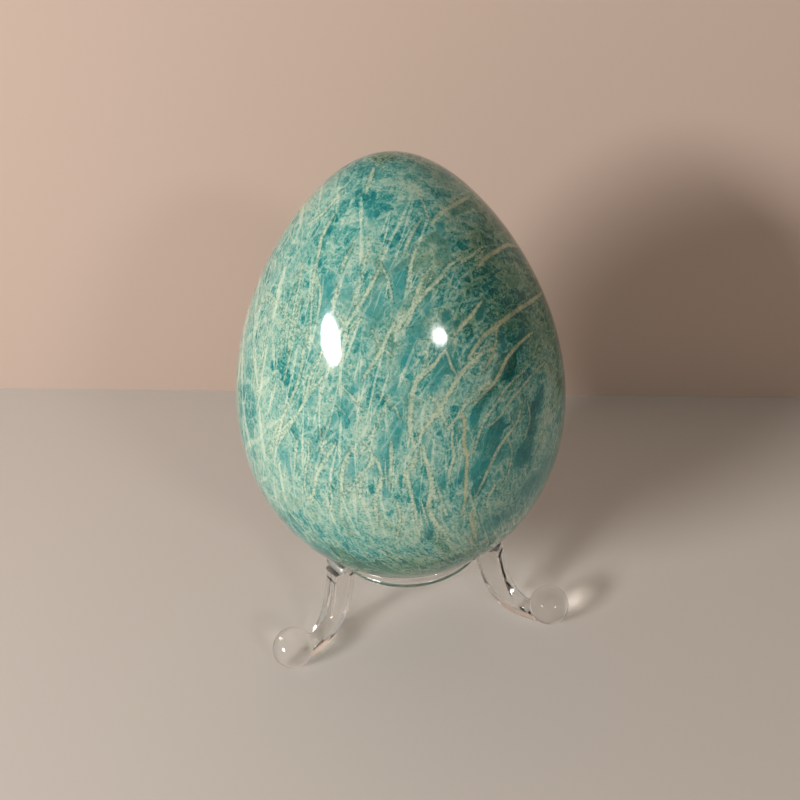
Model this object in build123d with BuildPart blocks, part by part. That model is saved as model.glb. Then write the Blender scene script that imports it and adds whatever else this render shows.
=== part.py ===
from build123d import *
import os
from math import cos, pi, sin

# Decorative stone egg on a clear three-legged stand that plugs together.
# Millimetres, +Z up. The origin is on the ring's axis at the level of the table.
# The rear leg points along +Y, and the two front legs lie a third of a turn either side of it.

# Stone egg, big end down
egg_height = 80.0
egg_width = 59.0
egg_fullness_share = 0.177
egg_pinch_share = 0.077
egg_outline_steps = 16

# Ring that the egg sits in
ring_underside = 15.9
ring_height = 3.1
ring_bore_radius = 13.0
ring_wall = 3.0
ring_rounding = 0.4
seat_width_share = 0.5
seat_gap = 0.1

# Loops on the ring's wall, which the tongues of the legs push up into
loop_height = 1.3
loop_reach = 2.6
loop_strap = 0.7
loop_rounding = 0.5
loop_root_share = 0.25
guide_land = 0.2

# Legs, each one moulding with its ball foot
leg_names = ("leg_rear", "leg_left", "leg_right")
rear_azimuth = 90.0
leg_width = 3.6
leg_depth = 5.0
leg_rounding = 0.35
leg_hook_share = 0.5
push_clearance = 0.05
foot_circle_radius = 30.0
ball_radius = 3.95
sole_skin = 0.05
sole_reach = 2.0
instep_height = 2.8

# Handles of the leg's two long curves, as shares of the rise and of the run of each curve
inner_bend_shares = ((0.15, 0.246), (0.42, 0.0))
outer_bend_shares = ((0.108, 0.505), (0.552, 0.0))
ball_joint_share = 0.85

os.makedirs("parts", exist_ok=True)


def outline_share(turn):
    """Half width of the plain oval at a turn from the lower pole, as a share of its radius."""
    return sin(turn) * (1 + egg_fullness_share * cos(turn) - egg_pinch_share * cos(turn) ** 2)


def outline_rise(turn):
    """Height above the lower pole."""
    return egg_height / 2 * (1 - cos(turn))


# The widest point of the outline sets the scale of its half width
fine_steps = 2000
fine_turns = [pi * step / fine_steps for step in range(fine_steps + 1)]
widest_turn = max(fine_turns, key=outline_share)
oval_radius = egg_width / 2 / outline_share(widest_turn)

# Ring radii, and the bevelled seat, which has the slope of the egg where they meet
ring_outer_radius = ring_bore_radius + ring_wall
ring_top = ring_underside + ring_height
seat_width = ring_wall * seat_width_share
seat_outer_radius = ring_bore_radius + seat_width
contact_radius = ring_bore_radius + seat_width / 2
lower_turns = [turn for turn in fine_turns if turn < widest_turn]
contact_turn = min(lower_turns, key=lambda turn: abs(oval_radius * outline_share(turn) - contact_radius))
turn_step = pi / fine_steps
rise_step = outline_rise(contact_turn + turn_step) - outline_rise(contact_turn)
width_step = oval_radius * (outline_share(contact_turn + turn_step) - outline_share(contact_turn))
seat_slope = rise_step / width_step
seat_low = ring_top - seat_width * seat_slope
contact_height = ring_top - seat_width / 2 * seat_slope
egg_bottom = contact_height - outline_rise(contact_turn) + seat_gap

# Loop on the ring, and the tongue that it holds
loop_base = ring_top - loop_height
loop_root = ring_wall * loop_root_share
loop_length = loop_root + loop_reach
loop_centre_radius = ring_outer_radius - loop_root + loop_length / 2
loop_width = leg_width + 2 * (push_clearance + loop_strap)
slot_inner_radius = ring_outer_radius + guide_land
slot_outer_radius = ring_outer_radius + loop_reach - loop_strap
slot_depth = slot_outer_radius - slot_inner_radius
slot_centre_radius = slot_inner_radius + slot_depth / 2
slot_width = leg_width + 2 * push_clearance
tongue_inner_radius = slot_inner_radius + push_clearance
tongue_outer_radius = slot_outer_radius - push_clearance

# Leg outline in its own upright plane: distance from the ring's axis, and height
leg_count = len(leg_names)
hook_radius = ring_outer_radius - ring_wall * leg_hook_share
hook_height = ring_underside - push_clearance
shoulder_radius = hook_radius + leg_depth
shoulder_height = loop_base - push_clearance
sole_start_radius = foot_circle_radius - sole_reach
ball_height = ball_radius + sole_skin
ball_joint_radius = foot_circle_radius - ball_radius * ball_joint_share


def bend_points(start, end, shares):
    """Four control points of a bend from start to end, its handles given as shares of run and rise."""
    run = end[0] - start[0]
    rise = start[1] - end[1]
    handles = [(start[0] + run * across, end[1] + rise * up) for across, up in shares]
    return [start, *handles, end]


inner_bend = bend_points((hook_radius, hook_height), (sole_start_radius, 0), inner_bend_shares)
outer_bend = bend_points((shoulder_radius, shoulder_height), (ball_joint_radius, instep_height), outer_bend_shares)


def leg_plane(azimuth):
    """Upright plane through the ring's axis, its X pointing out along the azimuth and its Y up."""
    out = Vector(1, 0, 0).rotate(Axis.Z, azimuth)
    side = Vector(0, -1, 0).rotate(Axis.Z, azimuth)
    return Plane(origin=(0, 0, 0), x_dir=out, z_dir=side)


# Stone egg: the outline turned about the upright axis
with BuildPart() as egg:
    with BuildSketch(Plane.XZ):
        with BuildLine():
            turns = [pi * step / egg_outline_steps for step in range(egg_outline_steps + 1)]
            outline = [(oval_radius * outline_share(turn), egg_bottom + outline_rise(turn)) for turn in turns[1:-1]]
            lower_pole = (0, egg_bottom)
            upper_pole = (0, egg_bottom + egg_height)
            Spline(lower_pole, *outline, upper_pole, tangents=[(1, 0), (-1, 0)], tangent_scalars=[1, 1])
            Line(upper_pole, lower_pole)
        make_face()
    revolve(axis=Axis.Z)
egg.part.label = "egg"
export_step(egg.part, "parts/egg.step")

# Ring: a short tube with a bevelled seat and three loops on its outer wall
with BuildPart() as seat_ring:
    with BuildSketch(Plane.XZ) as wall:
        with BuildLine():
            Polyline(
                (ring_bore_radius, ring_underside),
                (ring_outer_radius, ring_underside),
                (ring_outer_radius, ring_top),
                (seat_outer_radius, ring_top),
                (ring_bore_radius, seat_low),
                close=True,
            )
        make_face()
        fillet(wall.vertices().sort_by(Axis.X)[-2:], ring_rounding)
    revolve(axis=Axis.Z)
    with BuildSketch(Plane.XY.offset(loop_base)):
        with PolarLocations(loop_centre_radius, leg_count, start_angle=rear_azimuth):
            RectangleRounded(loop_length, loop_width, loop_rounding)
    extrude(amount=loop_height)
    with BuildSketch(Plane.XY.offset(loop_base)):
        with PolarLocations(slot_centre_radius, leg_count, start_angle=rear_azimuth):
            Rectangle(slot_depth, slot_width)
    extrude(amount=loop_height, mode=Mode.SUBTRACT)
seat_ring.part.label = "seat_ring"
export_step(seat_ring.part, "parts/seat_ring.step")

# Legs: a flat curved bar with a tongue at its head, a shoulder under the ring and a ball at its foot
for index, name in enumerate(leg_names):
    azimuth = rear_azimuth + 360 / leg_count * index
    upright = leg_plane(azimuth)
    foot = upright.from_local_coords((foot_circle_radius, 0, 0))
    ball_centre = upright.from_local_coords((foot_circle_radius, ball_height, 0))
    with BuildPart() as leg:
        with BuildSketch(upright):
            with BuildLine():
                Bezier(*inner_bend)
                Polyline(
                    (sole_start_radius, 0),
                    (foot_circle_radius, 0),
                    (foot_circle_radius, instep_height),
                    (ball_joint_radius, instep_height),
                )
                Bezier(*outer_bend)
                Polyline(
                    (shoulder_radius, shoulder_height),
                    (tongue_outer_radius, shoulder_height),
                    (tongue_outer_radius, ring_top),
                    (tongue_inner_radius, ring_top),
                    (tongue_inner_radius, hook_height),
                    (hook_radius, hook_height),
                )
            make_face()
        extrude(amount=leg_width / 2, both=True)
        long_edges = leg.edges().filter_by(GeomType.BEZIER)
        fillet(long_edges, leg_rounding)
        with BuildSketch(Plane.XY):
            with Locations((foot.X, foot.Y)):
                Circle(leg_width / 2 - leg_rounding)
        extrude(amount=ball_height)
        with Locations(ball_centre):
            Sphere(ball_radius)
    leg.part.label = name
    export_step(leg.part, f"parts/{name}.step")

print(f"egg bottom {egg_bottom:.3f}, contact radius {contact_radius:.3f}, seat low {seat_low:.3f}")
print(f"height over all {egg_bottom + egg_height:.3f}, slot {slot_depth:.3f} x {slot_width:.3f}")
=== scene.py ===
import bpy
import numpy as np
from mathutils import Matrix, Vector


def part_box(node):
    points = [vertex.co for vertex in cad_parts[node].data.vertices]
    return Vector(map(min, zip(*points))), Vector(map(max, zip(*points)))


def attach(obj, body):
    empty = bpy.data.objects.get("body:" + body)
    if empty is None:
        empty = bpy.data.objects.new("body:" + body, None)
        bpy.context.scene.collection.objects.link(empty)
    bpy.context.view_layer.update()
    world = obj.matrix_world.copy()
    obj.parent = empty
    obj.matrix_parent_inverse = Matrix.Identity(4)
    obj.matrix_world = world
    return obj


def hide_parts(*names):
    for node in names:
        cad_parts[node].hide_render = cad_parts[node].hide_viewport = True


# Polished stone egg on a clear stand that plugs together.
# Lengths are metres in the frame's own axes, apart from names that end in _mm.
# Places named in pixels belong to the photograph's frame of 800 by 800.

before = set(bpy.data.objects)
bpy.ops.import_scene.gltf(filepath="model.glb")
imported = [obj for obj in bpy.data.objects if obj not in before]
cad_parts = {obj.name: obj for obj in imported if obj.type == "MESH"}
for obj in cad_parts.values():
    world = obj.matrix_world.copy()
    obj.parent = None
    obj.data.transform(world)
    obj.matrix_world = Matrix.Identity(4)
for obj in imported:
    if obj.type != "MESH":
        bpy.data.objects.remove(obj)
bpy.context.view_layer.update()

MM = 0.001
UP = np.array((0.0, 0.0, 1.0))
tiny = 1e-9


def unit(vectors):
    """Vectors of length 1 with the same directions."""
    return vectors / np.linalg.norm(vectors, axis=-1, keepdims=True)


def swung(vector, axis, angle):
    """Rodrigues' turn: the vector swung about a unit axis by an angle."""
    along = axis * np.dot(axis, vector) * (1 - np.cos(angle))
    return vector * np.cos(angle) + np.cross(axis, vector) * np.sin(angle) + along


def new_object(name, data):
    """An object in the scene, at the origin."""
    made = bpy.data.objects.new(name, data)
    bpy.context.collection.objects.link(made)
    return made


def aim(made, right, up, back, place):
    """Gives a camera or a lamp its place and the directions of its own three axes."""
    pose = np.eye(4)
    pose[:3] = np.column_stack((right, up, back, place))
    made.matrix_world = Matrix(pose.tolist())


# Camera, found from the outlines of the egg, the ring, the legs and the ball feet

photo_size = 800
photo_focal = 860.5
camera_reach_mm = 127.0
camera_height_mm = 141.5
camera_azimuth = np.radians(-8.23)
camera_drop = np.radians(37.23)
camera_yaw = np.radians(0.07)
camera_pitch = np.radians(1.18)
camera_roll = np.radians(2.88)
sensor_mm = 36.0


def camera_frame():
    """Camera place and its right, up and ahead directions: aimed down, then yawed, pitched and rolled."""
    place = np.array((0.0, -camera_reach_mm, camera_height_mm)) * MM
    ahead = np.array((0.0, np.cos(camera_drop), -np.sin(camera_drop)))
    right = np.array((1.0, 0.0, 0.0))
    up = np.cross(right, ahead)
    ahead, right = swung(ahead, up, camera_yaw), swung(right, up, camera_yaw)
    ahead, up = swung(ahead, right, camera_pitch), swung(up, right, camera_pitch)
    right, up = swung(right, ahead, camera_roll), swung(up, ahead, camera_roll)
    return [swung(vector, UP, camera_azimuth) for vector in (place, right, up, ahead)]


eye, eye_right, eye_up, eye_ahead = camera_frame()


def photo_rays(pixels):
    """Directions from the camera through pixels of the photograph."""
    pixels = np.asarray(pixels, float)
    across = (pixels[:, :1] - photo_size / 2) / photo_focal
    above = (photo_size / 2 - pixels[:, 1:]) / photo_focal
    return unit(eye_ahead + across * eye_right + above * eye_up)


def place_camera():
    lens = bpy.data.cameras.new("camera")
    lens.sensor_width = sensor_mm
    lens.lens = sensor_mm * photo_focal / photo_size
    lens.clip_start = MM
    camera = new_object("camera", lens)
    aim(camera, eye_right, eye_up, -eye_ahead, eye)
    bpy.context.scene.camera = camera


# Egg outline, in the frame's own sizes

stone_low, stone_high = (np.array(corner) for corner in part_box("egg"))
stone_height = stone_high[2] - stone_low[2]
stone_radius = (stone_high[0] - stone_low[0]) / 2
fullness_share = 0.177
pinch_share = 0.077
outline_samples = 2001
slope_step = MM / 10
ray_steps = 400
ray_halvings = 24


def width_share(turn):
    """Half width of the plain oval at a turn from the lower pole: sin t (1 + f cos t - p cos^2 t)."""
    return np.sin(turn) * (1 + fullness_share * np.cos(turn) - pinch_share * np.cos(turn) ** 2)


oval_radius = stone_radius / width_share(np.linspace(0, np.pi, outline_samples)).max()


def stone_half_width(height):
    """Half width of the egg at a height above the table."""
    share = np.clip((height - stone_low[2]) / stone_height, 0, 1)
    return oval_radius * width_share(np.arccos(1 - 2 * share))


def on_stone(pixels):
    """Points where rays through pixels of the photograph first meet the egg: coarse steps, then halving."""
    rays = photo_rays(pixels)
    reach = np.linalg.norm(eye - UP * stone_high[2] / 2)
    steps = np.linspace(reach - stone_height, reach + stone_height, ray_steps)

    def outside(distance):
        points = eye + rays * distance[:, None]
        return np.hypot(points[:, 0], points[:, 1]) - stone_half_width(points[:, 2])

    clear = np.array([outside(np.full(len(rays), step)) for step in steps])
    hit = clear < 0
    first = np.where(hit.any(0), hit.argmax(0), clear.argmin(0))
    far = steps[first]
    near = steps[np.maximum(first - 1, 0)]
    for _ in range(ray_halvings):
        middle = (near + far) / 2
        inside = outside(middle) < 0
        far = np.where(inside, middle, far)
        near = np.where(inside, near, middle)
    return eye + rays * far[:, None]


def stone_normal(points):
    """Outward normals of the egg: the outline's own slope, swung round to the point's side."""
    rise = stone_half_width(points[:, 2] + slope_step) - stone_half_width(points[:, 2] - slope_step)
    flat = points[:, :2] / np.maximum(np.hypot(points[:, 0], points[:, 1]), tiny)[:, None]
    return unit(np.column_stack((flat, -rise / (2 * slope_step))))


# Mesh helpers

def grid_faces(rows, columns, ring_rows=False):
    """Quads of a grid whose columns close on themselves, and whose rows do too if asked."""
    last = rows if ring_rows else rows - 1
    row, column = np.meshgrid(np.arange(last), np.arange(columns), indexing="ij")
    below, above = row * columns, (row + 1) % rows * columns
    right = (column + 1) % columns
    return np.stack((below + column, below + right, above + right, above + column), -1).reshape(-1, 4)


def end_faces(start, columns, pole, upwards):
    """Triangles that close a ring of the grid on one pole."""
    column = np.arange(columns)
    right = (column + 1) % columns
    first, second = (column, right) if upwards else (right, column)
    return np.stack((start + first, start + second, np.full(columns, pole)), -1)


def closed_skin(rings, first_pole, last_pole):
    """Points and faces of rings in a row, with each end of the row closed on a pole."""
    rows, columns = rings.shape[:2]
    points = np.vstack((rings.reshape(-1, 3), first_pole, last_pole))
    return points, [
        grid_faces(rows, columns),
        end_faces(0, columns, rows * columns, False),
        end_faces((rows - 1) * columns, columns, rows * columns + 1, True),
    ]


def all_round(corners):
    """Angles of evenly spaced corners all the way round."""
    return np.linspace(0, 2 * np.pi, corners, endpoint=False)


def turned_rings(radii, heights, columns):
    """Rings of an outline turned about the upright axis: (r cos t, r sin t, h)."""
    turns, radii = all_round(columns), radii[:, None]
    return np.stack((radii * np.cos(turns), radii * np.sin(turns), heights[:, None] + 0 * turns), -1)


def closed_turning(radii, heights, columns):
    """Points and faces of an outline turned about the upright axis, its two ends being the poles."""
    rings = turned_rings(radii[1:-1], heights[1:-1], columns)
    return closed_skin(rings, (0, 0, heights[0]), (0, 0, heights[-1]))


def new_piece(name, points, *faces):
    """A smooth mesh object from an array of points and arrays of faces."""
    mesh = bpy.data.meshes.new(name)
    mesh.from_pydata(points.tolist(), [], [face for block in faces for face in block.tolist()])
    mesh.shade_smooth()
    return new_object(name, mesh)


# Veins and colour patches of the stone, read from the photograph.
# A vein is its half width in millimetres, its share of ochre, and the pixels that it runs through,
# each written x,y.

bold_veins = (
    (0.34, 0.15, 343,190, 332,203, 322,214, 311,223),
    (0.38, 0.20, 334,214, 326,229, 321,240, 317,262, 313,284),
    (0.30, 0.10, 313,284, 310,322, 304,349, 300,376, 290,402, 276,430, 268,452),
    (0.26, 0.10, 317,276, 320,292, 319,312),
    (0.30, 0.05, 337,285, 335,300, 333,314),
    (0.34, 0.10, 381,266, 368,291, 357,310, 345,327, 338,334),
    (0.30, 0.20, 353,246, 345,260, 341,272),
    (0.45, 0.25, 470,196, 459,202, 447,209, 438,216, 431,225),
    (0.32, 0.15, 422,218, 414,230, 408,242, 404,254),
    (0.30, 0.10, 417,247, 412,261, 407,288),
    (0.38, 0.15, 430,269, 421,283, 415,300, 410,318, 403,332),
    (0.36, 0.15, 463,256, 450,265, 443,275, 433,285, 422,296, 411,310, 398,330),
    (0.26, 0.20, 483,246, 474,254, 461,263),
    (0.42, 0.60, 523,248, 508,245, 498,250, 487,257, 477,268),
    (0.50, 0.65, 546,290, 533,300, 519,309, 504,320, 490,331, 480,341, 474,349, 468,358),
    (0.46, 0.35, 490,349, 478,357, 465,369, 457,380, 449,393, 441,406, 430,421, 419,437),
    (0.30, 0.85, 497,330, 495,346, 492,356, 487,366, 480,373),
    (0.40, 0.55, 533,332, 519,344, 508,357, 501,371, 494,383, 484,393, 474,405),
    (0.32, 0.15, 490,380, 476,393, 465,405, 455,420, 447,430),
    (0.36, 0.85, 462,410, 465,425, 464,441, 467,458, 466,480, 465,501, 461,517),
    (0.32, 0.25, 545,362, 533,374, 522,387, 508,404, 500,416, 490,426),
    (0.28, 0.20, 525,370, 508,386, 493,408, 486,418, 480,432, 474,452),
    (0.40, 0.30, 521,408, 517,422, 507,436, 497,451, 491,464, 481,486, 476,496),
    (0.44, 0.25, 446,348, 433,366, 423,374, 416,383, 412,398, 410,417, 411,434, 416,451),
    (0.44, 0.30, 416,451, 414,464, 407,473, 404,483),
    (0.26, 0.10, 429,348, 426,361, 420,378),
    (0.26, 0.10, 446,350, 451,365, 459,379),
    (0.24, 0.10, 429,395, 439,406, 447,428),
    (0.38, 0.50, 481,302, 471,316, 461,327, 453,336),
    (0.46, 0.25, 423,446, 426,460, 430,476, 432,487, 429,505, 434,520, 444,532, 450,542),
    (0.30, 0.15, 438,487, 443,505, 447,516),
    (0.30, 0.15, 407,473, 411,494, 415,511, 420,538),
    (0.28, 0.20, 469,490, 473,505, 480,528),
    (0.42, 0.70, 470,512, 473,528, 477,540),
    (0.28, 0.75, 468,538, 474,545, 482,543, 495,539),
    (0.26, 0.20, 453,428, 452,444, 454,457, 449,474, 450,484),
    (0.34, 0.10, 497,482, 489,496, 487,508),
    (0.30, 0.05, 322,352, 310,378, 306,398, 295,417, 282,430, 276,441, 270,455),
    (0.28, 0.05, 323,377, 309,395, 297,415, 288,429, 277,446),
    (0.34, 0.10, 400,316, 390,331, 382,348, 375,361, 362,380),
    (0.34, 0.10, 353,445, 346,458, 342,475, 342,489, 345,498),
    (0.26, 0.05, 363,442, 371,453, 369,466, 360,475, 349,491),
    (0.36, 0.15, 371,453, 379,465, 381,481, 376,497, 376,512, 378,527),
    (0.34, 0.05, 336,443, 326,458, 318,473, 314,489, 312,502),
    (0.40, 0.20, 374,168, 369,183, 366,193),
    (0.32, 0.20, 391,440, 391,462, 389,490),
    (0.34, 0.20, 288,510, 297,521, 305,530, 314,541),
)
fine_veins = (
    (0.20, 0.05, 309,440, 308,460, 305,474, 305,488, 308,500),
    (0.20, 0.05, 298,437, 295,453, 295,470),
    (0.20, 0.05, 329,482, 332,498, 330,512),
    (0.20, 0.05, 362,478, 360,498),
    (0.22, 0.05, 320,427, 321,444, 324,456),
    (0.18, 0.05, 271,310, 266,336, 262,361, 257,398),
    (0.18, 0.05, 261,320, 255,350, 252,380, 251,410),
    (0.18, 0.05, 282,330, 281,344, 277,361, 272,392),
    (0.20, 0.05, 295,274, 291,292, 286,310, 283,330),
    (0.20, 0.05, 303,262, 299,285, 294,310, 290,335, 287,360),
    (0.20, 0.05, 302,300, 296,325, 291,352, 284,380, 279,408),
    (0.16, 0.05, 281,311, 291,321, 302,334, 310,343),
    (0.16, 0.05, 341,386, 355,400, 362,410),
    (0.16, 0.05, 336,404, 345,414),
    (0.18, 0.05, 264,290, 274,299, 282,306),
    (0.18, 0.15, 245,330, 262,302, 272,303),
    (0.20, 0.10, 331,300, 339,316, 346,330),
    (0.18, 0.10, 429,221, 424,205, 419,193),
    (0.18, 0.10, 363,300, 372,282, 380,268),
    (0.20, 0.10, 353,300, 362,275, 366,255),
    (0.20, 0.10, 392,300, 388,280, 380,262),
    (0.20, 0.10, 345,345, 352,330, 362,318),
    (0.18, 0.05, 372,330, 380,345, 392,356),
    (0.18, 0.10, 380,396, 395,408, 400,420),
    (0.22, 0.10, 390,395, 380,420, 370,438, 360,455),
    (0.20, 0.05, 331,418, 324,436, 316,452),
    (0.20, 0.20, 559,376, 551,395, 543,424, 541,441, 536,458),
    (0.20, 0.20, 527,400, 530,419, 524,440),
    (0.20, 0.10, 507,436, 512,452, 508,474, 500,490),
    (0.20, 0.15, 438,540, 433,523, 424,508),
    (0.20, 0.10, 397,500, 400,520, 396,540),
)

# A patch is its centre pixel, its half length and half width, and its lean from upright in degrees
teal_patches = (
    (326,296, 25,9, 4), (373,201, 9,4, 10), (370,214, 8,4, -20), (387,272, 12,6, 40), (400,284, 19,9, 10),
    (375,303, 16,10, 15), (346,286, 12,8, 0), (364,373, 10,5, 45), (340,401, 8,6, 30), (346,416, 12,7, 15),
    (353,390, 9,4, 40), (313,397, 9,5, 40), (385,345, 11,4, 25), (392,385, 12,6, 10), (398,430, 20,6, 10),
    (384,456, 18,6, 8), (331,422, 9,4, 35), (438,373, 22,7, 25), (414,329, 15,7, 15), (407,360, 12,8, 10),
    (539,402, 20,6, 5), (497,430, 17,6, 30), (486,460, 23,7, 25), (475,415, 11,4, 15), (511,369, 11,4, 30),
    (454,366, 12,4, -25), (480,485, 12,5, 10), (418,491, 10,4, 0), (444,483, 9,4, 0), (460,479, 9,4, 10),
    (386,489, 10,4, 10), (381,466, 10,4, 0), (495,521, 14,8, 20), (541,478, 16,8, 15), (429,532, 8,4, 0),
    (352,470, 9,3, 15), (318,453, 12,4, 10), (285,460, 12,5, 0), (330,230, 8,4, 20), (446,250, 10,5, 30),
    (410,240, 10,5, 15), (520,342, 14,5, 35), (503,345, 9,4, 20), (428,305, 10,5, 20), (446,318, 8,4, 30),
    (525,455, 16,7, 20), (440,232, 9,5, 20), (481,312, 8,4, 30), (533,430, 9,4, 20),
)
pale_patches = (
    (262,392, 70,13, 2), (282,330, 44,15, 8), (272,470, 40,16, -14), (366,520, 34,30, 0),
    (330,515, 26,20, -30), (430,412, 22,14, 30), (345,372, 22,12, 35), (372,404, 66,8, 26),
    (410,458, 20,9, 0), (395,535, 22,26, 0), (329,404, 44,7, 44), (395,331, 30,6, 32), (378,352, 34,6, 30),
    (322,376, 40,6, 24), (300,290, 26,8, 12), (365,250, 26,14, 20), (430,262, 20,12, 35),
    (455,545, 16,26, 0), (505,505, 18,10, 30), (400,186, 12,44, 0), (548,410, 60,8, 0),
)
# Painted shade: darker ovals on the egg's right and top, and at its bottom by the ring, where it lies in
# shade. They also carry some of the stone's own olive. The ones scattered on the hidden sides are that olive
# only.
shade_and_olive_patches = (
    (490,225, 30,26, -40), (510,268, 24,12, -30), (470,285, 22,16, 30), (412,568, 7,34, 0),
    (448,560, 6,14, 20), (470,330, 16,10, 30), (385,158, 8,22, 0), (380,570, 5,8, 0), (403,563, 5,7, 0),
    (351,557, 6,6, 0), (460,172, 14,30, -50), (400,578, 26,110, 0), (532,300, 100,32, -16),
    (500,225, 54,30, -40),
)
calm_patches = (
    (525,420, 90,55, 15), (500,490, 60,40, 30), (400,555, 34,90, 0), (330,540, 30,40, -30),
    (400,175, 30,60, 0), (318,238, 40,36, 30),
)

# Each kind of patch: the photograph's own, and for the hidden sides how many are scattered,
# with their longest half length and half width in millimetres
patch_kinds = (
    ("teal_patch", teal_patches, 150, 5.0, 1.6),
    ("pale_patch", pale_patches, 44, 9.0, 4.0),
    ("dark_patch", shade_and_olive_patches, 20, 7.0, 4.0),
    ("calm_patch", calm_patches, 24, 10.0, 7.0),
)
smallest_patch_share = 0.4

photo_step = 0.6
taper_share = 0.3
tip_share = 0.4
vein_core_share = 0.72
vein_margin = 1.6 * MM
far_away = 5 * MM
far_half_width = 0.2 * MM
pole_share = 0.015


def smooth_run(points, step):
    """Catmull-Rom curve through points, sampled about every step of their own unit."""
    points = np.asarray(points, float)
    ends = np.vstack((2 * points[0] - points[1], points, 2 * points[-1] - points[-2]))
    spans = []
    for before, start, end, after in zip(ends, ends[1:], ends[2:], ends[3:]):
        samples = max(2, int(np.ceil(np.linalg.norm(end - start) / step)))
        t = np.linspace(0, 1, samples, endpoint=False)[:, None]
        square = (2 * before - 5 * start + 4 * end - after) * t ** 2
        cube = (3 * start - before - 3 * end + after) * t ** 3
        spans.append(start + ((end - before) * t + (square + cube)) / 2)
    return np.vstack((*spans, points[-1:]))


def vein_taper(samples):
    """Width along a vein: a rounded rise and fall from tips that keep a share of the full width."""
    along = np.linspace(0, 1, samples)
    return tip_share + (1 - tip_share) * np.clip(np.minimum(along, 1 - along) / taper_share, 0, 1) ** 0.5


def photo_veins():
    """The veins that the photograph shows, as runs of points on the egg with their half widths."""
    runs = []
    for half_width, ochre, *pixels in bold_veins + fine_veins:
        points = on_stone(smooth_run(np.reshape(pixels, (-1, 2)), photo_step))
        runs.append((points, half_width * vein_core_share * MM * vein_taper(len(points)), ochre))
    return runs


def stone_push(points):
    """Points moved level onto the egg's surface."""
    points = points.copy()
    points[:, 2] = np.clip(points[:, 2], stone_low[2] + MM / 2, stone_high[2] - MM / 2)
    flat = np.hypot(points[:, 0], points[:, 1])
    points[:, :2] *= (stone_half_width(points[:, 2]) / np.maximum(flat, tiny))[:, None]
    return points


def scattered(random, amount):
    """Places scattered over the egg, short of its two poles."""
    sides = random.uniform(0, 2 * np.pi, amount)
    heights = stone_low[2] + stone_height * random.uniform(pole_share, 1 - pole_share, amount)
    return stone_push(np.column_stack((np.cos(sides), np.sin(sides), heights)))


def seen_share(points):
    """How squarely places on the egg face the camera: 1 is square on, and below 0 is hidden."""
    return (unit(eye - points) * stone_normal(points)).sum(1)


# Run of the stone's grain: a sum of powers of the place, whose level lines follow the veins

highest_power = 4
grain_powers = np.array([
    powers for powers in np.ndindex(*[highest_power + 1] * 3) if 0 < sum(powers) <= highest_power
])
grain_lean = np.radians(62)
grain_up = np.array((np.cos(grain_lean), 0, np.sin(grain_lean)))
grain_side = np.array((np.sin(grain_lean), 0, -np.cos(grain_lean)))
side_weight = 0.4
hidden_weight = 0.5
hidden_samples = 500


def grain_terms(points):
    """Products of the powers of a place, counted from the egg's middle in half heights, and their slopes."""
    half = stone_height / 2
    place = (points - UP * (stone_low[2] + half)) / half
    raised = place[:, None] ** grain_powers
    slopes = np.repeat(raised[..., None], 3, 3)
    for axis in range(3):
        lowered = np.maximum(grain_powers[:, axis] - 1, 0)
        slopes[:, :, axis, axis] = grain_powers[:, axis] * place[:, None, axis] ** lowered
    return raised.prod(2), slopes.prod(2) / half


def fit_grain(runs, random):
    """Least squares: level along each vein, rising across it, and a plain slope where the egg is hidden."""
    rows, goals = [], []
    for points, _, _ in runs:
        heading = unit(np.gradient(points, axis=0))
        side = np.cross(stone_normal(points), heading)
        slopes = grain_terms(points)[1]
        along, across = (np.einsum("mnk,mk->mn", slopes, way) for way in (heading, side))
        rows += [along, across * side_weight]
        goals += [np.zeros(len(points)), side @ grain_side * side_weight]
    places = scattered(random, hidden_samples)
    slopes = grain_terms(places[seen_share(places) < 0])[1]
    for axis in range(3):
        rows.append(slopes[:, :, axis] * hidden_weight)
        goals.append(np.full(len(slopes), grain_side[axis] * hidden_weight))
    return np.linalg.lstsq(np.vstack(rows), np.concatenate(goals), rcond=None)[0]


def grain_heading(points, fit):
    """Directions that run up along the grain on the egg's surface."""
    heading = np.cross(stone_normal(points), np.einsum("mnk,n->mk", grain_terms(points)[1], fit))
    return unit(heading * np.where(heading @ grain_up < 0, -1, 1)[:, None])


# Veins and patches on the hidden sides. Widths are half widths, and each has its odds.

hidden_count = 420
hidden_steps = 90
hidden_step = 0.25 * MM
hidden_limit = 0.2
hidden_lean = 0.16
hidden_wander = 0.22
hidden_swings = 1.5
shortest_share = 0.25
hidden_widths_mm = (0.12, 0.16, 0.22, 0.32)
hidden_odds = (0.36, 0.32, 0.22, 0.1)
hidden_ochre = 0.8


def hidden_veins(random, fit):
    """Veins where the photograph doesn't reach: runs that drift along the same grain."""
    lean = random.normal(0, hidden_lean, (hidden_count, 3))
    wander = random.normal(0, hidden_wander, (hidden_count, 3))
    lengths = random.uniform(shortest_share, 1.0, hidden_count) * hidden_steps
    widths = random.choice(hidden_widths_mm, hidden_count, p=hidden_odds) * MM
    ochres = random.uniform(0, 1, hidden_count) ** 3 * hidden_ochre
    paths = [scattered(random, hidden_count)]
    for index in range(hidden_steps):
        points = paths[-1]
        normals = stone_normal(points)
        swing = np.sin(index / hidden_steps * np.pi * hidden_swings)
        heading = grain_heading(points, fit) + lean + wander * swing
        heading = unit(heading - normals * (heading * normals).sum(1, keepdims=True))
        paths.append(stone_push(points + heading * hidden_step))
    paths = np.stack(paths, 1)
    facing = seen_share(paths.reshape(-1, 3)).reshape(paths.shape[:2])
    runs = []
    for path, view, length, half_width, ochre in zip(paths, facing, lengths, widths, ochres):
        points = path[:int(length)]
        if view[:len(points)].max() <= hidden_limit:
            runs.append((points, half_width * vein_taper(len(points)), ochre))
    return runs


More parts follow.
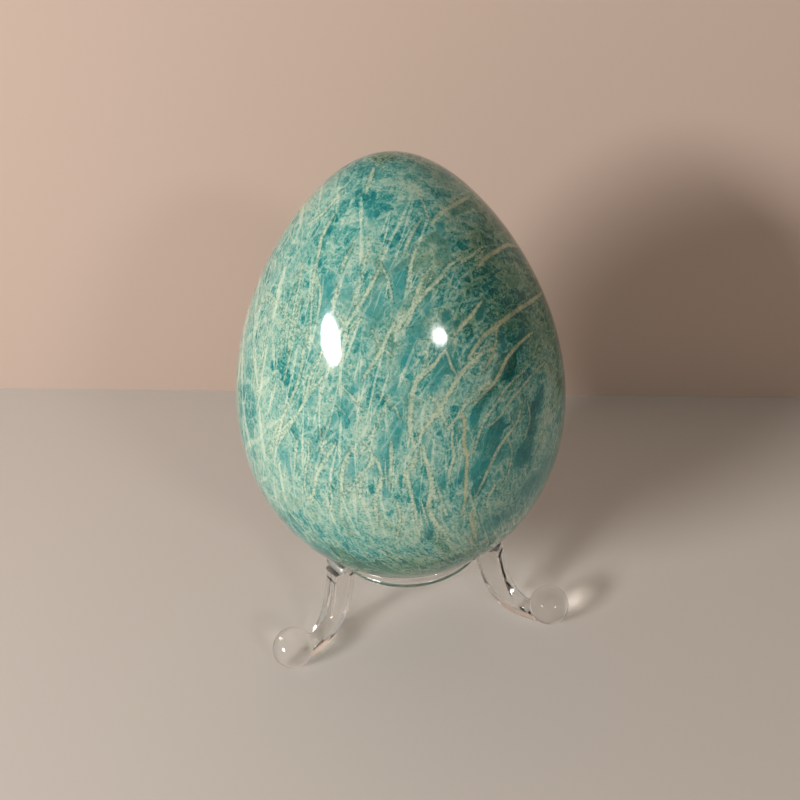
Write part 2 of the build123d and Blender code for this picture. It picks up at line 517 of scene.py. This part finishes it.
def vein_fields(points, runs):
    """For each point: the vector to the nearest vein's line, its length, that vein's half width and ochre.

    Lengths are in millimetres. The vector passes smoothly through zero on the line, so that it reads true
    between the points.
    """
    offset = np.full((len(points), 3), far_away)
    near = np.full(len(points), far_away)
    score = np.full(len(points), far_away)
    half_width = np.full(len(points), far_half_width)
    ochre = np.zeros(len(points))
    for line, widths, share in runs:
        low, high = line.min(0) - vein_margin, line.max(0) + vein_margin
        chosen = np.flatnonzero(((points > low) & (points < high)).all(1))
        gaps = line[None] - points[chosen, None]
        closest = np.linalg.norm(gaps, axis=2).argmin(1)
        gap = gaps[np.arange(len(chosen)), closest]
        tangent = unit(np.gradient(line, axis=0))[closest]
        inner = (closest > 0) & (closest < len(line) - 1)
        gap = gap - tangent * ((gap * tangent).sum(1) * inner)[:, None]
        distance = np.linalg.norm(gap, axis=1)
        better = distance - widths[closest] < score[chosen]
        winners = chosen[better]
        score[winners] = (distance - widths[closest])[better]
        offset[winners] = gap[better]
        near[winners] = distance[better]
        half_width[winners] = widths[closest][better]
        ochre[winners] = share
    lengths = {"vein_offset": offset, "vein_near": near, "vein_half": half_width}
    return {name: values / MM for name, values in lengths.items()} | {"vein_ochre": ochre}


def patch_field(points, patches):
    """Soft ovals on the surface: the largest of exp(-r^2), with r counted in each patch's half sizes."""
    strongest = np.zeros(len(points))
    for centre, along, across in patches:
        gap = points - centre
        depth = unit(np.cross(along, across)) * np.linalg.norm(along) * 2
        squares = sum((gap @ half / (half @ half)) ** 2 for half in (along, across, depth))
        strongest = np.maximum(strongest, np.exp(-squares))
    return strongest


def photo_patches(table):
    """Patches given in pixels, as centres on the egg with their two half-size vectors."""
    table = np.array(table, float)
    centres, longs, wides, leans = table[:, :2], table[:, 2:3], table[:, 3:4], np.radians(table[:, 4:5])
    along = np.hstack((np.sin(leans), -np.cos(leans)))
    across = np.hstack((np.cos(leans), np.sin(leans)))
    middle = on_stone(centres)
    alongs = (on_stone(centres + along * longs / 2) - middle) * 2
    acrosses = (on_stone(centres + across * wides / 2) - middle) * 2
    return list(zip(middle, alongs, acrosses))


def hidden_patches(random, fit, amount, longest_mm, widest_mm):
    """Patches where the photograph doesn't reach, drawn out along the grain."""
    centres = scattered(random, amount)
    centres = centres[seen_share(centres) < hidden_limit]
    heading = grain_heading(centres, fit)
    sideways = np.cross(stone_normal(centres), heading)
    longs = random.uniform(smallest_patch_share, 1, (len(centres), 1)) * longest_mm * MM
    wides = random.uniform(smallest_patch_share, 1, (len(centres), 1)) * widest_mm * MM
    return list(zip(centres, heading * longs, sideways * wides))


def add_field(mesh, name, values):
    """Stores one value or one vector for each point of the mesh."""
    kind, key = ("FLOAT_VECTOR", "vector") if values.ndim == 2 else ("FLOAT", "value")
    mesh.attributes.new(name, kind, "POINT").data.foreach_set(key, values.astype(np.float32).ravel())


egg_rows = 246
egg_columns = 400
egg_seed = 11


def make_egg():
    """The egg: height = low + H/2 (1 - cos t), half width = R sin t (1 + f cos t - p cos^2 t)."""
    turns = np.linspace(0, np.pi, egg_rows)
    heights = stone_low[2] + stone_height / 2 * (1 - np.cos(turns))
    points, faces = closed_turning(oval_radius * width_share(turns), heights, egg_columns)
    egg = new_piece("stone_egg", points, *faces)
    random = np.random.default_rng(egg_seed)
    seen_veins = photo_veins()
    fit = fit_grain(seen_veins, random)
    places = (grain_terms(points)[0] @ fit, points @ grain_up, points @ np.cross(grain_up, grain_side))
    fields = vein_fields(points, seen_veins + hidden_veins(random, fit))
    fields["grain"] = np.column_stack(places) / MM
    for name, table, *hidden in patch_kinds:
        fields[name] = patch_field(points, photo_patches(table) + hidden_patches(random, fit, *hidden))
    for name, values in fields.items():
        add_field(egg.data, name, values)
    egg.data.materials.append(stone_finish())
    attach(egg, "egg")
    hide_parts("egg")


# Node helpers

def wire(tree, kind, inputs=None, **options):
    """Adds a node, sets its options, and fills its inputs with values or with links."""
    node = tree.nodes.new(kind)
    for key, value in options.items():
        setattr(node, key, value)
    for key, value in (inputs or {}).items():
        if isinstance(value, Worked):
            tree.links.new(value.socket, node.inputs[key])
        else:
            node.inputs[key].default_value = value
    return node


class Worked:
    """A value that a node works out. Sums written with it become Math nodes."""

    def __init__(self, tree, socket):
        self.tree = tree
        self.socket = socket

    def __add__(self, other):
        return sums("ADD", self, other)

    def __sub__(self, other):
        return sums("SUBTRACT", self, other)

    def __rsub__(self, other):
        return sums("SUBTRACT", other, self)

    def __mul__(self, other):
        return sums("MULTIPLY", self, other)

    __radd__ = __add__
    __rmul__ = __mul__


def read(tree, kind, output, inputs=None, **options):
    """Adds a node and gives what it works out."""
    return Worked(tree, wire(tree, kind, inputs, **options).outputs[output])


def sums(operation, *numbers):
    """One Math node on numbers, of which at least one is worked out by a node."""
    tree = next(number.tree for number in numbers if isinstance(number, Worked))
    return read(tree, "ShaderNodeMath", 0, dict(enumerate(numbers)), operation=operation)


def vector_sums(operation, *vectors, output=0):
    """One Vector Math node, the first vector being worked out by a node."""
    tree = vectors[0].tree
    return read(tree, "ShaderNodeVectorMath", output, dict(enumerate(vectors)), operation=operation)


def blend(share, first, second, mode="MIX"):
    """Mixes two colours by a share."""
    inputs = {0: share, 6: first, 7: second}
    return read(share.tree, "ShaderNodeMix", 2, inputs, data_type="RGBA", blend_type=mode)


def fade(value, start, end):
    """Smooth step from 0 at start to 1 at end."""
    inputs = {"Value": value, "From Min": start, "From Max": end}
    return read(value.tree, "ShaderNodeMapRange", 0, inputs, interpolation_type="SMOOTHSTEP")


def noise(place, scale, detail=2.0, roughness=0.5, output="Fac"):
    inputs = {"Vector": place, "Scale": scale, "Detail": detail, "Roughness": roughness}
    return read(place.tree, "ShaderNodeTexNoise", output, inputs)


def parts_of(vector):
    """The three numbers of a vector."""
    outputs = wire(vector.tree, "ShaderNodeSeparateXYZ", {0: vector}).outputs
    return [Worked(vector.tree, socket) for socket in outputs]


def field(tree, name, output="Fac"):
    """A value that the mesh carries at its points."""
    return read(tree, "ShaderNodeAttribute", output, attribute_name=name)


def millimetres(tree):
    """Object coordinates counted in millimetres."""
    place = read(tree, "ShaderNodeTexCoord", "Object")
    return read(tree, "ShaderNodeVectorMath", 0, {0: place, "Scale": 1 / MM}, operation="SCALE")


def shade(red, green, blue):
    """A colour from screen values of 0 to 255, by the curve that screens use."""
    screen = np.array((red, green, blue)) / 255
    plain = np.where(screen <= 0.04045, screen / 12.92, ((screen + 0.055) / 1.055) ** 2.4)
    return (*plain.tolist(), 1.0)


def new_finish(name):
    """An empty material and its node tree."""
    finish = bpy.data.materials.new(name)
    finish.use_nodes = True
    finish.node_tree.nodes.clear()
    return finish, finish.node_tree


def principled(tree, inputs):
    return read(tree, "ShaderNodeBsdfPrincipled", 0, inputs)


def either(share, first, second):
    """One shader or another, by a share."""
    return read(share.tree, "ShaderNodeMixShader", 0, {0: share, 1: first, 2: second})


def cover(shader):
    """Makes a shader the material's surface."""
    wire(shader.tree, "ShaderNodeOutputMaterial", {"Surface": shader})


def bump(height, strength, depth_mm):
    """A normal that a height raises and sinks."""
    inputs = {"Height": height, "Strength": strength, "Distance": depth_mm * MM}
    return read(height.tree, "ShaderNodeBump", 0, inputs)


smear_per_mm = 0.16
hair_per_mm = 0.8
hair_lean = (0.3, 0.5, 0.9)
hair_stretch = (1.0, 7.0, 1.0)


def handling_group():
    """Fine wear that the egg and the plastic share: faint smears, and hairlines from handling."""
    group = bpy.data.node_groups.new("handling_wear", "ShaderNodeTree")
    for name in ("Smear", "Hairline"):
        group.interface.new_socket(name, in_out="INPUT", socket_type="NodeSocketFloat")
    group.interface.new_socket("Roughness", in_out="OUTPUT", socket_type="NodeSocketFloat")
    shares = group.nodes.new("NodeGroupInput").outputs
    place = millimetres(group)
    smear = fade(noise(place, smear_per_mm, 3.0), 0.4, 0.75)
    drawn = {"Vector": place, "Scale": hair_stretch, "Rotation": hair_lean}
    drawn = read(group, "ShaderNodeMapping", 0, drawn)
    hair = fade(sums("ABSOLUTE", noise(drawn, hair_per_mm, 4.0, 0.7) - 0.5), 0.012, 0.0)
    total = smear * Worked(group, shares["Smear"]) + hair * Worked(group, shares["Hairline"])
    wire(group, "NodeGroupOutput", {"Roughness": total})
    return group


handling_wear = handling_group()


def wear(tree, smear, hairline):
    """Roughness from handling, by the shares of its two kinds."""
    return read(tree, "ShaderNodeGroup", 0, {"Smear": smear, "Hairline": hairline}, node_tree=handling_wear)


def colour_scale(value, stops):
    """Reads a value as a colour along stops, each a place from 0 to 1 and a colour."""
    node = wire(value.tree, "ShaderNodeValToRGB", {0: value})
    elements = node.color_ramp.elements
    for index, (position, colour) in enumerate(stops):
        element = elements[index] if index < 2 else elements.new(position)
        element.position = position
        element.color = shade(*colour)
    return Worked(value.tree, node.outputs["Color"])


# Stone's pattern. A noise on a place has so many cells to a millimetre.
# One on the grain has cells that are so many millimetres across it and along it.

stir_per_mm = 0.55
stir_mm = (0.8, 2.0, 0.8)
cloud_per_mm = 0.13
grit_per_mm = 2.6
spot_per_mm = 2.3
ragged_per_mm = 2.2
sand_per_mm = 3.0
worn_per_mm = 0.4
streak_mm = (1.1, 5.0)
dash_mm = (0.35, 1.3)
flake_mm = (1.5, 5.0)
sliver_mm = (0.8, 3.0)
facet_mm = (0.4, 0.7)
drift_mm = (4.0, 24.0)
stretch_mm = (7.0, 14.0)
line_jump = 5.37

# A set of threads is its slant, its spacing and thickness in millimetres, and how far it sways
first_threads = (0.0, 0.85, 0.09, 1.6)
second_threads = (0.1, 1.3, 0.13, 2.2)
crossing_threads = (-0.16, 1.7, 0.12, 2.6)

stone_colours = (
    (0.0, (10, 92, 95)), (0.2, (40, 122, 118)), (0.4, (94, 149, 139)),
    (0.6, (136, 168, 154)), (0.8, (158, 181, 164)), (1.0, (178, 194, 176)),
)
window_colour = shade(52, 132, 138)
cream_colour = shade(178, 188, 164)
spot_colour = shade(46, 80, 62)
# Painted shade: the dark rim beside each vein
vein_shade_colour = shade(40, 80, 64)
vein_colour = shade(178, 196, 172)
ochre_colour = shade(176, 158, 108)
# Painted shade: darkens and greens the colour in the shaded ovals, and tints the stone's own olive there
shade_and_olive_tint = (0.46, 0.58, 0.47, 1.0)


def drawn_out(grain, across, along):
    """Grain coordinates counted in cells that are so many millimetres across and along."""
    return vector_sums("MULTIPLY", grain, (1 / across, 1 / along, 1 / along))


def scales(grain, across, along):
    """Long flakes along the grain: a chance value for each flake, and how near a place is to its edge."""
    inputs = {"Vector": drawn_out(grain, across, along), "Scale": 1.0}
    cell = read(grain.tree, "ShaderNodeTexVoronoi", "Color", inputs, feature="F1")
    chance = read(grain.tree, "ShaderNodeSeparateColor", 0, {0: cell})
    return chance, read(grain.tree, "ShaderNodeTexVoronoi", "Distance", inputs, feature="DISTANCE_TO_EDGE")


def threads(grain, slant, spacing, thickness, sway):
    """Thin lines along the grain at a spacing, each broken into stretches of its own by chance."""
    side, run, depth = parts_of(grain)
    drift = noise(drawn_out(grain, *drift_mm), 1.0, 1.0) * sway
    phase = (run * slant + side + drift) * (1 / spacing)
    line = sums("ROUND", phase)
    gap = sums("ABSOLUTE", phase - line) * spacing
    inputs = {0: line * line_jump, 1: run * (1 / stretch_mm[0]), 2: depth * (1 / stretch_mm[1])}
    chance = noise(read(grain.tree, "ShaderNodeCombineXYZ", 0, inputs), 1.0, 1.0)
    width = fade(chance, 0.42, 0.66) * thickness
    return fade(width - gap, -0.04, 0.03) * fade(chance, 0.42, 0.5)


def ground_colour(tree, place, grit):
    """Colour between the veins: a level from 0, deep, to 1, pale, read along the stone's colours.

    Clouds, streaks, flakes and grit make the level. Patches pull it down to clear windows, even it out, or
    darken and tint it with painted shade on the egg's right, top and bottom, mixed with the stone's own
    olive. The numbers in the sums are shares, set against the photograph.
    """
    straight = field(tree, "grain", "Vector")
    stir = vector_sums("SUBTRACT", noise(place, stir_per_mm, output="Color"), (0.5, 0.5, 0.5))
    grain = vector_sums("MULTIPLY_ADD", stir, stir_mm, straight)
    cloud = noise(place, cloud_per_mm)
    streak = noise(drawn_out(grain, *streak_mm), 1.0, 3.0, 0.6)
    dash = noise(drawn_out(grain, *dash_mm), 1.0, 2.0, 0.6)
    flake, flake_edge = scales(grain, *flake_mm)
    sliver, sliver_edge = scales(grain, *sliver_mm)
    facet, facet_edge = scales(grain, *facet_mm)
    outline = sums("MAXIMUM", fade(flake_edge, 0.06, 0.02), fade(sliver_edge, 0.11, 0.03))

    ragged = streak * 0.8 + flake * 0.5 + sliver * 0.35 - 0.825
    teal = fade(ragged * 1.3 + field(tree, "teal_patch"), 0.05, 0.65)
    pale = fade(ragged * 0.9 + field(tree, "pale_patch"), 0.05, 1.0)
    # Painted shade on the egg's right, top and bottom, mixed with the stone's own olive
    shade_and_olive = fade(ragged * 0.8 + field(tree, "dark_patch"), 0.25, 1.0)
    calm = field(tree, "calm_patch")

    rough = grit * 0.7 + facet * 0.26 - fade(facet_edge, 0.12, 0.02) * 0.1 - 0.12
    rough = rough * (teal * -0.45 + pale * 0.1 + shade_and_olive * 0.35 + 0.85)
    level = cloud * 0.3 + streak * 0.25 + rough * 0.95 + dash * 0.38 + flake * 0.28 + sliver * 0.22
    level = level + outline * 0.18 - 0.33
    window = teal * -0.12 + calm * -0.38 + 0.36
    level = (window - level) * (calm * 0.25 + 0.5) * teal + level
    even = (0.5 - level) * pale * 0.45
    uneven = (level - 0.45) * shade_and_olive * 0.7
    fine = sums("MAXIMUM", threads(straight, *first_threads), threads(straight, *second_threads))
    lines = fine * 0.36 + threads(straight, *crossing_threads) * 0.22
    level = level + even + uneven + lines * (1 - fade(shade_and_olive + calm, 0.0, 1.0) * 0.85)

    colour = colour_scale(level, stone_colours)
    colour = blend(teal * (0.3 - calm * 0.3), colour, window_colour)
    crumbs = fade(grit + dash, 0.36, 0.6)
    colour = blend(pale * crumbs * 0.4, colour, cream_colour)
    # The painted shade darkens and greens the colour here
    colour = blend(shade_and_olive, colour, shade_and_olive_tint, "MULTIPLY")
    spot = fade(noise(place, spot_per_mm, 1.0), 0.35, 0.28)
    return blend(spot * 0.6, colour, spot_colour), crumbs


def add_veins(tree, place, grit, crumbs, colour):
    """Lays granular veins over the ground, each edged with a rim of painted shade that the grit breaks into
    pits. Gives the colour and the veins' mask.
    """
    half = field(tree, "vein_half")
    gap = vector_sums("LENGTH", field(tree, "vein_offset", "Vector"), output="Value")
    edge = (noise(place, ragged_per_mm, 2.0, 0.7) - 0.5) * 0.5 + gap - half
    true_line = fade(field(tree, "vein_near"), 1.3, 0.9)
    # Painted shade just outside each vein's edge, broken up by the grit
    vein_shade = fade(edge, 0.4, 0.1) * true_line * fade(grit, 0.12, -0.12)
    colour = blend(vein_shade * 0.5, colour, vein_shade_colour)
    vein = fade(edge, 0.18, -0.16) * true_line
    ochre = field(tree, "vein_ochre") * fade(grit, -0.2, 0.05)
    sand = fade(noise(place, sand_per_mm, 0.0), 0.4, 0.6)
    worn = fade(noise(place, worn_per_mm), 0.34, 0.56)
    strength = crumbs * 0.22 + sand * 0.26 + fade(half, 0.08, 0.32) * 0.18 + 0.26
    strength = strength * (worn * 0.4 + 0.6) * vein
    return blend(strength, colour, blend(ochre, vein_colour, ochre_colour)), vein


def stone_finish():
    """Polished sea-green stone with paler veins, which are a little duller and lower than the ground."""
    finish, tree = new_finish("polished_stone")
    place = millimetres(tree)
    grit = noise(place, grit_per_mm, 1.0, 0.7) - 0.5
    colour, crumbs = ground_colour(tree, place, grit)
    colour, vein = add_veins(tree, place, grit, crumbs, colour)
    matt = wear(tree, 0.05, 0.06) + 0.07 + vein * 0.05
    hollows = bump(vein * -0.6 + grit * -0.3, 0.12, 0.02)
    cover(principled(tree, {"Base Color": colour, "Roughness": matt, "Normal": hollows, "IOR": 1.43}))
    return finish


# Clear plastic stand. Its sizes are the frame's, or the named ones here, in millimetres.

ring_low, ring_high = (np.array(corner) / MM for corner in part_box("seat_ring"))
leg_low, leg_high = (np.array(corner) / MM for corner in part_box("leg_rear"))
ring_bore_mm = 13.0
ring_outer_mm = 16.0
seat_width_mm = 1.5
seat_drop_mm = 0.9
ring_rounding_mm = 0.4
ring_worn_rounding_mm = 1.2
loop_height_mm = 1.3
loop_strap_mm = 0.7
loop_root_mm = 0.7
loop_corner_mm = 0.3
loop_step_mm = 0.2
leg_width_mm = 3.6
leg_depth_mm = 5.0
leg_crown_mm = 0.5
crown_rise = 1.6
tongue_inner_mm = 16.25
tongue_outer_mm = 17.85
push_clearance_mm = 0.05
join_overlap_mm = 1.0
instep_mm = 2.8
sole_reach_mm = 2.0
ball_joint_share = 0.85
inner_bend_shares = ((0.15, 0.246), (0.42, 0.0))
outer_bend_shares = ((0.108, 0.505), (0.552, 0.0))
ball_radius_mm = leg_high[0]
foot_radius_mm = leg_high[1] - ball_radius_mm
hook_radius_mm = leg_low[1]
hook_height_mm = ring_low[2] - push_clearance_mm
shoulder_height_mm = ring_high[2] - loop_height_mm - push_clearance_mm
leg_names = ("leg_rear", "leg_left", "leg_right")
leg_turns = np.arange(len(leg_names)) * 2 * np.pi / len(leg_names)

# A section is its corners, and the power of its squared oval
bar_section = (36, 8)
strap_section = (24, 4)
curve_rows = 60
short_rows = 12
ball_columns = 96
sole_columns = 48
ring_columns = 240
mould_step_mm = 0.12
mould_smooths = 8
mould_smoothing = 0.5


def bend(start, end, shares):
    """Bezier curve from start to end, its handles given as shares of run and rise."""
    start, end = np.array(start), np.array(end)
    span = np.array((end[0] - start[0], start[1] - end[1]))
    first, second = (np.array((start[0], end[1])) + span * np.array(share) for share in shares)
    t = np.linspace(0, 1, curve_rows)[:, None]
    s = 1 - t
    return s ** 3 * start + 3 * s ** 2 * t * first + 3 * s * t ** 2 * second + t ** 3 * end


def squared_oval(corners, power):
    """The two coordinates round a squared oval, |a|^n + |b|^n = 1."""
    turns = all_round(corners)
    reach = (np.abs(np.cos(turns)) ** power + np.abs(np.sin(turns)) ** power) ** (-1 / power)
    return reach * np.cos(turns), reach * np.sin(turns)


def bar(inner, outer, half_width, crown=0.0):
    """A closed bar between two curves, whose every section is a squared oval.

    The curves give distance out and height. The bar's width lies across them.
    A crown lowers the outer face towards its two edges, by crown times a^2.
    """
    across, through = squared_oval(*bar_section)
    middle, half = (inner + outer) / 2, (outer - inner) / 2
    sink = crown / np.linalg.norm(half, axis=1)
    through = through - sink[:, None] * across ** 2 * np.maximum(through, 0)
    flat = middle[:, None] + half[:, None] * through[..., None]
    wide = np.broadcast_to(across * half_width, flat.shape[:2])
    rings = np.stack((wide, flat[..., 0], flat[..., 1]), -1)
    return closed_skin(rings, (0, *middle[0]), (0, *middle[-1]))


def upright_bar(inner, outer, low, high, half_width):
    """A straight upright bar between two distances and two heights."""
    levels = np.linspace(low, high, short_rows)
    near, far = (np.column_stack((0 * levels + reach, levels)) for reach in (inner, outer))
    return bar(near, far, half_width)


def moulded(name, parts):
    """One moulding from overlapping closed parts: joined, skinned on a fine grid and smoothed."""
    points, faces, start = [], [], 0
    for part_points, part_faces in parts:
        points.append(part_points)
        faces += [block + start for block in part_faces]
        start += len(part_points)
    piece = new_piece(name, np.vstack(points), *faces)
    skin = piece.modifiers.new("skin", "REMESH")
    skin.mode = "VOXEL"
    skin.voxel_size = mould_step_mm
    skin.use_smooth_shade = True
    ease = piece.modifiers.new("ease", "SMOOTH")
    ease.factor = mould_smoothing
    ease.iterations = mould_smooths
    finished = bpy.data.meshes.new_from_object(piece.evaluated_get(bpy.context.evaluated_depsgraph_get()))
    piece.modifiers.clear()
    piece.data = finished
    finished.name = name
    return piece


def set_points(mesh, points):
    mesh.vertices.foreach_set("co", points.astype(np.float32).ravel())
    mesh.update()


def get_points(mesh):
    points = np.empty(len(mesh.vertices) * 3, np.float32)
    mesh.vertices.foreach_get("co", points)
    return points.reshape(-1, 3).astype(float)


def about_axis(points, angle):
    """Points turned about the upright axis."""
    turned = points.copy()
    turned[:, 0] = points[:, 0] * np.cos(angle) - points[:, 1] * np.sin(angle)
    turned[:, 1] = points[:, 0] * np.sin(angle) + points[:, 1] * np.cos(angle)
    return turned


def leg_parts():
    """Bar, sole, ball, shoulder and tongue of the rear leg, in millimetres."""
    half = leg_width_mm / 2
    join_height = hook_height_mm - join_overlap_mm
    shoulder_outer = hook_radius_mm + leg_depth_mm
    ball_joint = foot_radius_mm - ball_radius_mm * ball_joint_share
    inner = bend((hook_radius_mm, hook_height_mm), (foot_radius_mm - sole_reach_mm, 0.0), inner_bend_shares)
    outer = bend((shoulder_outer, shoulder_height_mm), (ball_joint, instep_mm), outer_bend_shares)
    level = outer[outer[:, 1] <= hook_height_mm]
    picks = np.linspace(0, len(level) - 1, curve_rows)
    outer = np.column_stack([np.interp(picks, np.arange(len(level)), values) for values in level.T])
    inner = np.vstack((inner, (foot_radius_mm, 0.0)))
    outer = np.vstack((outer, (foot_radius_mm, instep_mm)))
    crown = leg_crown_mm * np.clip(crown_rise * (1 - outer[:, 1] / hook_height_mm), 0, 1)
    turns = np.linspace(0, np.pi, curve_rows)
    ball = closed_turning(ball_radius_mm * np.sin(turns), -ball_radius_mm * np.cos(turns), ball_columns)
    sole = np.array(((0, 0), (half, 0), (half, ball_radius_mm), (0, ball_radius_mm)))
    sole = closed_turning(sole[:, 0], sole[:, 1], sole_columns)
    return [
        bar(inner, outer, half, crown),
        (sole[0] + (0, foot_radius_mm, 0), sole[1]),
        (ball[0] + (0, foot_radius_mm, ball_radius_mm + push_clearance_mm), ball[1]),
        upright_bar(tongue_inner_mm, shoulder_outer, join_height, shoulder_height_mm, half),
        upright_bar(tongue_inner_mm, tongue_outer_mm, join_height, leg_high[2], half),
    ]


def make_legs(finish):
    """Three legs from one moulding, a third of a turn apart."""
    first = moulded("clear_leg_rear", leg_parts())
    first.data.materials.append(finish)
    rest = get_points(first.data) * MM
    for node, turn in zip(leg_names, leg_turns):
        leg = first if node == "leg_rear" else new_object(f"clear_{node}", first.data.copy())
        set_points(leg.data, about_axis(rest, turn))
        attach(leg, node.replace("leg_", "") + "_leg")
        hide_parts(node)


def ring_band():
    """The ring's wall: a closed outline with a bevelled seat, turned about the upright axis."""
    low, high = ring_low[2], ring_high[2]
    arc = np.linspace(0, np.pi / 2, short_rows)
    reach = ring_outer_mm - ring_rounding_mm
    worn_reach = ring_outer_mm - ring_worn_rounding_mm
    lower = np.column_stack((np.sin(arc), 1 - np.cos(arc))) * ring_worn_rounding_mm + (worn_reach, low)
    upper = np.column_stack((np.cos(arc), np.sin(arc) - 1)) * ring_rounding_mm + (reach, high)
    seat = ((ring_bore_mm + seat_width_mm, high), (ring_bore_mm, high - seat_drop_mm), (ring_bore_mm, low))
    outline = np.vstack((lower, upper, seat))
    rings = turned_rings(outline[:, 0], outline[:, 1], ring_columns)
    return rings.reshape(-1, 3), [grid_faces(len(outline), ring_columns, ring_rows=True)]


def ring_loops():
    """Three straps that go out from the wall, round a tongue and back, each a squared oval along a path."""
    half_strap = loop_strap_mm / 2
    side = leg_width_mm / 2 + push_clearance_mm + half_strap
    near, far = ring_outer_mm - loop_root_mm, ring_high[1] - half_strap
    corner_side, corner_far = side - loop_corner_mm, far - loop_corner_mm
    half_path = ((side, near), (side, corner_far), (corner_side, far))
    path = smooth_run((*((-x, y) for x, y in half_path), *half_path[::-1]), loop_step_mm)
    heading = unit(np.gradient(path, axis=0))
    sideways = np.column_stack((-heading[:, 1], heading[:, 0]))
    across, upwards = squared_oval(*strap_section)
    flat = path[:, None] + sideways[:, None] * (across * half_strap)[None, :, None]
    middle = ring_high[2] - loop_height_mm / 2
    heights = np.broadcast_to(middle + upwards * loop_height_mm / 2, flat.shape[:2])
    rings = np.stack((flat[..., 0], flat[..., 1], heights), -1)
    points, faces = closed_skin(rings, (*path[0], middle), (*path[-1], middle))
    return [(about_axis(points, turn), faces) for turn in leg_turns]


def make_ring(finish):
    ring = moulded("clear_seat_ring", [ring_band(), *ring_loops()])
    set_points(ring.data, get_points(ring.data) * MM)
    ring.data.materials.append(finish)
    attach(ring, "ring")
    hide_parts("seat_ring")


# Frost on the heads of the legs and on the loops starts at this distance and this height
frost_reach_mm = (16.0, 16.3)
frost_height_mm = (16.9, 17.5)
frost = 0.3
wave_per_mm = 0.4


def plastic_finish():
    """Clear moulded plastic with faint smears and hairlines. Rays to the lamps pass with a little loss."""
    finish, tree = new_finish("clear_plastic")
    place = millimetres(tree)
    side, out, height = parts_of(place)
    reach = vector_sums("LENGTH", read(tree, "ShaderNodeCombineXYZ", 0, {0: side, 1: out}), output="Value")
    head = fade(reach, *frost_reach_mm) * fade(height, *frost_height_mm)
    clear = principled(tree, {
        "Base Color": shade(250, 250, 248),
        "Roughness": head * frost + wear(tree, 0.03, 0.06),
        "Normal": bump(noise(place, wave_per_mm, 1.0), 0.15, 0.3),
        "Transmission Weight": 1.0,
        "IOR": 1.49,
    })
    passed = read(tree, "ShaderNodeBsdfTransparent", 0, {"Color": shade(178, 177, 175)})
    cover(either(read(tree, "ShaderNodeLightPath", "Is Shadow Ray"), clear, passed))
    return finish


# Studio: a plain pale floor, two soft lamps where the egg mirrors them, and an even room

stage_reach = 3.0
wall_line_pixels = ((0, 388), (800, 398))
paint_specular = 0.2
room_glow = 0.65
lamp_distance = 0.6
lamp_colour = (1.0, 0.97, 0.94)

# A lamp is the pixel where the egg mirrors it, its two widths in metres, its lean in degrees and its watts
lamps = {
    "lamp_left": ((330.5, 340.5), (0.215, 0.116), 157.2, 4.8),
    "lamp_right": ((439.5, 336), (0.121, 0.062), 167.2, 0.7),
}


def new_panel(name, corners):
    """A flat face between four corners, and the tree of its finish."""
    panel = new_piece(name, corners, np.array(((0, 1, 2, 3),)))
    finish, tree = new_finish(f"pale_{name}")
    panel.data.materials.append(finish)
    return panel, tree


def flat_paint(tree, colour, matt):
    return principled(tree, {"Base Color": colour, "Roughness": matt, "Specular IOR Level": paint_specular})


def make_floor():
    """A wide level square."""
    corners = np.array(((-1, -1, 0), (1, -1, 0), (1, 1, 0), (-1, 1, 0))) * stage_reach
    floor, tree = new_panel("floor", corners)
    cover(flat_paint(tree, shade(190, 184, 178), 0.85))


def make_wall():
    """A wide upright square where the photograph's floor ends, clear when it is seen from behind."""
    rays = photo_rays(wall_line_pixels)
    left, right = eye - rays * eye[2] / rays[:, 2:]
    middle, run, rise = (left + right) / 2, unit(right - left) * stage_reach, UP * stage_reach
    corners = np.array((middle - run, middle + run, middle + run + rise, middle - run + rise))
    wall, tree = new_panel("wall", corners)
    behind = read(tree, "ShaderNodeNewGeometry", "Backfacing")
    front = flat_paint(tree, shade(176, 157, 145), 0.9)
    cover(either(behind, front, read(tree, "ShaderNodeBsdfTransparent", 0)))


def make_lamp(name, pixel, size, lean, power):
    """An oval lamp where the egg mirrors it at a pixel: along the ray r - 2 (r n) n, turned by its lean."""
    spot = on_stone([pixel])
    ray, normal = photo_rays([pixel])[0], stone_normal(spot)[0]
    mirrored = ray - 2 * np.dot(ray, normal) * normal
    light = bpy.data.lights.new(name, "AREA")
    light.shape = "ELLIPSE"
    light.size, light.size_y = size
    light.energy = power
    light.color = lamp_colour
    right = swung(unit(np.cross(UP, mirrored)), mirrored, np.radians(lean))
    place = spot[0] + mirrored * lamp_distance
    aim(new_object(name, light), right, np.cross(mirrored, right), mirrored, place)


def make_room():
    """An even room: pale where it is seen or mirrored, and dimmer where it lights."""
    world = bpy.data.worlds.new("room")
    bpy.context.scene.world = world
    world.use_nodes = True
    tree = world.node_tree
    tree.nodes.clear()
    rays = wire(tree, "ShaderNodeLightPath").outputs
    kinds = ("Is Camera Ray", "Is Glossy Ray", "Is Transmission Ray")
    camera, glossy, through = (Worked(tree, rays[kind]) for kind in kinds)
    colour = blend(camera + glossy + through, shade(156, 144, 130), shade(210, 202, 194))
    glow = read(tree, "ShaderNodeBackground", 0, {"Color": colour, "Strength": room_glow})
    wire(tree, "ShaderNodeOutputWorld", {"Surface": glow})


bpy.context.scene.view_settings.view_transform = "Standard"
place_camera()
make_egg()
plastic = plastic_finish()
make_ring(plastic)
make_legs(plastic)
make_floor()
make_wall()
make_room()
for lamp_name, lamp in lamps.items():
    make_lamp(lamp_name, *lamp)
